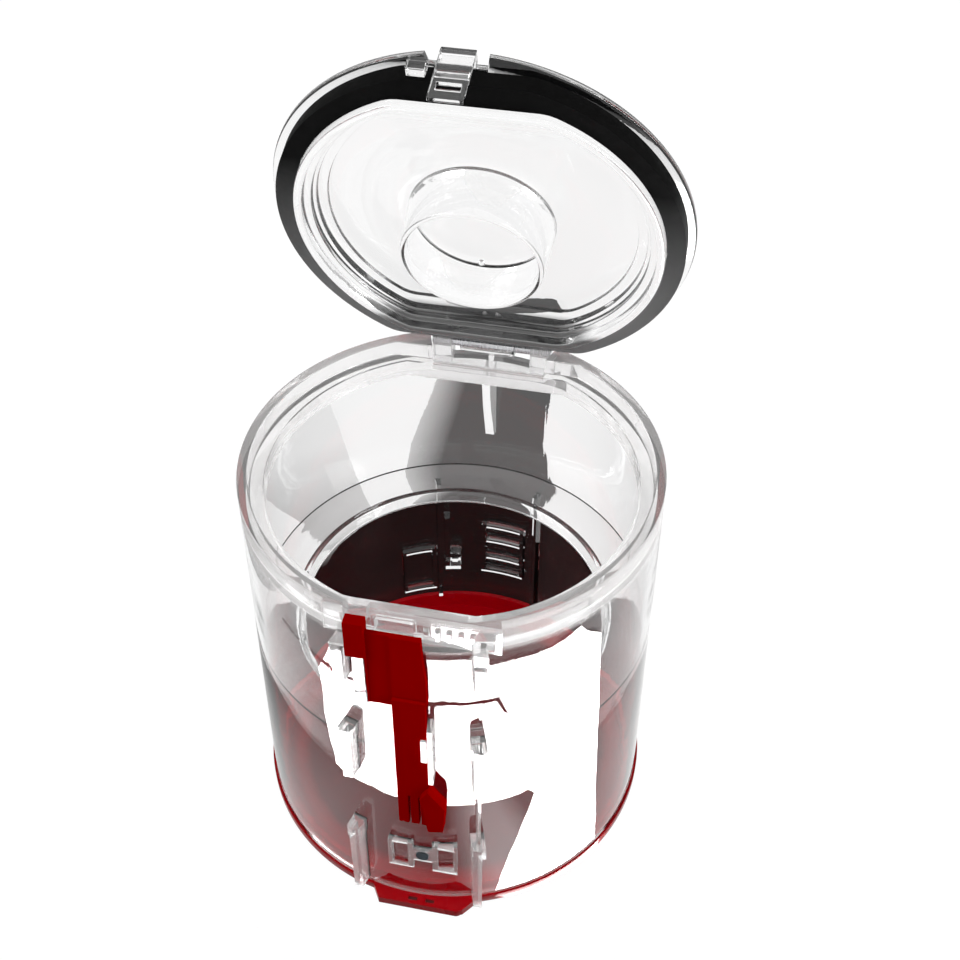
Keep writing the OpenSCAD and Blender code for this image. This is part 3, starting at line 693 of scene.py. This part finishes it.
def lid_column(a):
    """The closed lid's section at one angle, from the middle of its top round to its panel."""
    edge = flat_r(LID_EDGE[0], a, LID_EDGE[1], LID_EDGE[2])
    if math.cos(a) > 0 and LID_NOTCH[0] < LID_NOTCH[2] * math.tan(a) < LID_NOTCH[1]:
        edge = min(edge, LID_NOTCH[2] / math.cos(a))
    plug, first, second, third = (round_r(r, a, front, back) for r, front, back in PLUG_STEPS)
    panel = round_r(PANEL[0], a, PANEL[1], PANEL[2])
    plug_z = LID_Z - PLUG_H
    step_z = LID_Z - STEP_H
    inner_z = LID_Z - INNER_STEP_H
    profile = [(0.0, LID_TOP), (40.0, LID_TOP), (edge - 0.5, LID_TOP), (edge - 0.15, LID_TOP - 0.15)]
    profile += [(edge, LID_TOP - 0.5), (edge, LID_Z + 0.5), (edge - 0.15, LID_Z + 0.15)]
    profile += [(edge - 0.5, LID_Z), (plug + 0.4, LID_Z), (plug + 0.1, LID_Z - 0.1), (plug, LID_Z - 0.4)]
    profile += [(plug, plug_z + 0.5), (plug - 0.15, plug_z + 0.15), (plug - 0.5, plug_z)]
    profile += [(first + 0.5, plug_z), (first + 0.15, plug_z + 0.15), (first, plug_z + 0.5)]
    profile += [(first, step_z - 0.3), (first - 0.1, step_z - 0.1), (first - 0.4, step_z)]
    profile += [(second + 0.5, step_z), (second + 0.15, step_z + 0.15), (second, step_z + 0.5)]
    profile += [(second, inner_z - 0.3), (second - 0.1, inner_z - 0.1), (second - 0.3, inner_z)]
    profile += [(third + 0.5, inner_z), (third + 0.15, inner_z + 0.15), (third, inner_z + 0.5)]
    profile += [(third, LID_Z - 0.4), (third - 0.1, LID_Z - 0.1), (third - 0.4, LID_Z)]
    profile += [(panel + 0.4, LID_Z), (panel + 0.1, LID_Z + 0.1), (panel, LID_Z + 0.4)]
    profile += [(panel, PANEL_Z - 0.3), (panel - 0.1, PANEL_Z - 0.1), (panel - 0.3, PANEL_Z)]
    profile += TUBE
    return [(r, a, z) for r, z in profile]


LID_STRIPS = 160
lid_angles = [2 * math.pi * i / LID_STRIPS for i in range(LID_STRIPS)]
for x in LID_NOTCH[:2]:
    lid_angles += edge_angles(x, LID_NOTCH[2])
lid_angles = sorted(a % (2 * math.pi) for a in lid_angles)
clear_lid = wrapped("clear_lid", [lid_column(a) for a in lid_angles], False, 50)
clear_lid.data.transform(swing)
lid_plastic = clear_plastic("clear_lid_plastic", 0.0, 0.0)
# The plug's tint near the hinge is painted dark, a painted shade for the seal behind it.
SEAL_SHADE = 0.12
clear_lid.data.materials.append(clear_plastic("clear_plug_plastic", 0.0, 0.0, SEAL_SHADE))
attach(clear_lid, "lid")
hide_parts("lid_panel", "lid_plug_ring", "lid_plug_tube")
for name in ("lid_post", "lid_knuckle"):
    finish_node(name, lid_plastic, MOULDED_EDGE)

GATE_R = 0.001
GATE_PLACE = (-0.001, 0.0178, (PANEL_Z - 0.5) * MM)
GATE_FLAT = (1.0, 1.0, 0.8)
bm = bmesh.new()
bmesh.ops.create_uvsphere(bm, u_segments=20, v_segments=10, radius=GATE_R)
bmesh.ops.scale(bm, verts=bm.verts, vec=GATE_FLAT)
bmesh.ops.translate(bm, verts=bm.verts, vec=GATE_PLACE)
bmesh.ops.transform(bm, matrix=swing, verts=bm.verts)
gate_mesh = bpy.data.meshes.new("gate_mark")
bm.to_mesh(gate_mesh)
bm.free()
gate_mesh.shade_smooth()
gate_mesh.materials.append(lid_plastic)
gate_mark = bpy.data.objects.new("gate_mark", gate_mesh)
bpy.context.scene.collection.objects.link(gate_mark)
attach(gate_mark, "lid")

# ---- Snap hook --------------------------------------------------------------------
# A clear springy tongue at the lid's front with a barb and a small window, moulded with
# the lid. It bends at its root, so it stays a piece of its own.
finish_node("lid_hook", lid_plastic, MOULDED_EDGE)

# ---- Lid seal ---------------------------------------------------------------------
# A soft black rubber ring, moulded in one and stretched over the lid's plug, so that it
# fills the rebate in the rim. Matt, with a painted sheen: its colour is painted grey low down.
rubber, coords = new_material("seal_rubber")
grain = coords.node("ShaderNodeTexNoise", {"Vector": coords, "Scale": 400.0, "Detail": 3.0})
bump = coords.node("ShaderNodeBump", {"Height": grain, "Strength": 0.3, "Distance": 0.0003})
# Painted sheen: the colour is grey low down and near black higher up.
painted_sheen = coords.axis(2).ramp(0.150, 0.205, 0.22, 0.003)
dull = grain.ramp(0.3, 0.7, 0.6, 0.75)
coords.node(
    "ShaderNodeBsdfPrincipled",
    {"Base Color": painted_sheen, "Roughness": dull, "Specular IOR Level": 0.03, "Normal": bump},
).surface()
SOFT_EDGE = 0.0004
finish_node("lid_seal", rubber, SOFT_EDGE)

# ---- Release latch ----------------------------------------------------------------
# A red moulded slide on the front: a broad plate with a thumb block at the rim, and a
# long arm down the wall that ends in prongs and a wedge. Satin from its mould.
latch_red, coords = new_material("latch_red")
cloud = coords.node("ShaderNodeTexNoise", {"Vector": coords, "Scale": 60.0, "Detail": 3.0})
grain = coords.node("ShaderNodeTexNoise", {"Vector": coords, "Scale": 2500.0, "Detail": 2.0})
bump = coords.node("ShaderNodeBump", {"Height": grain, "Strength": 0.12, "Distance": 0.0001})
reds = {"Factor": cloud, 6: (0.255, 0.0, 0.0, 1), 7: (0.295, 0.0, 0.0, 1)}
tone = coords.node("ShaderNodeMix", reds, output=2, data_type="RGBA")
satin = cloud.ramp(0.3, 0.7, 0.38, 0.5)
coords.node(
    "ShaderNodeBsdfPrincipled",
    {"Base Color": tone, "Roughness": satin, "Specular IOR Level": 0.0, "Normal": bump},
).surface()
finish_node("latch_slide", latch_red, MOULDED_EDGE)

# ---- Base cap ---------------------------------------------------------------------
# A glossy red moulded disc pressed into the closed end, with a spigot inside the wall
# and a front tongue with two small slots. Inside the wall its colour is painted darker, a
# painted shade where less light reaches it.
cap_red, coords = new_material("red_plastic")
cloud = coords.node("ShaderNodeTexNoise", {"Vector": coords, "Scale": 60.0, "Detail": 3.0})
grain = coords.node("ShaderNodeTexNoise", {"Vector": coords, "Scale": 1800.0, "Detail": 2.0})
bump = coords.node("ShaderNodeBump", {"Height": grain, "Strength": 0.08, "Distance": 0.0001})
reds = {"Factor": cloud, 6: (0.26, 0.0, 0.002, 1), 7: (0.30, 0.0, 0.003, 1)}
tone = coords.node("ShaderNodeMix", reds, output=2, data_type="RGBA")
# Painted shade: within the wall's radius the red is painted a third as bright.
painted_inner_shade = coords.off_axis().ramp(0.050, 0.054, 0.33, 1.0)
tone = coords.node("ShaderNodeVectorMath", {0: tone, "Scale": painted_inner_shade}, operation="SCALE")
gloss = cloud.ramp(0.3, 0.7, 0.2, 0.3)
coords.node(
    "ShaderNodeBsdfPrincipled",
    {"Base Color": tone, "Roughness": gloss, "Specular IOR Level": 0.08, "Normal": bump},
).surface()
finish_node("base_cap", cap_red, SOFT_EDGE)

# ---- Clip insert ------------------------------------------------------------------
# A dark round plug of hard plastic, satin from its mould. It is made apart, and pressed
# into the middle of the clear clip low on the front.
insert_dark, coords = new_material("insert_dark")
grain = coords.node("ShaderNodeTexNoise", {"Vector": coords, "Scale": 1500.0, "Detail": 2.0})
bump = coords.node("ShaderNodeBump", {"Height": grain, "Strength": 0.2, "Distance": 0.0001})
satin = grain.ramp(0.3, 0.7, 0.35, 0.5)
coords.node(
    "ShaderNodeBsdfPrincipled",
    {"Base Color": (0.02, 0.025, 0.03, 1), "Roughness": satin, "Specular IOR Level": 0.02, "Normal": bump},
).surface()
finish_node("clip_insert", insert_dark, MOULDED_EDGE)
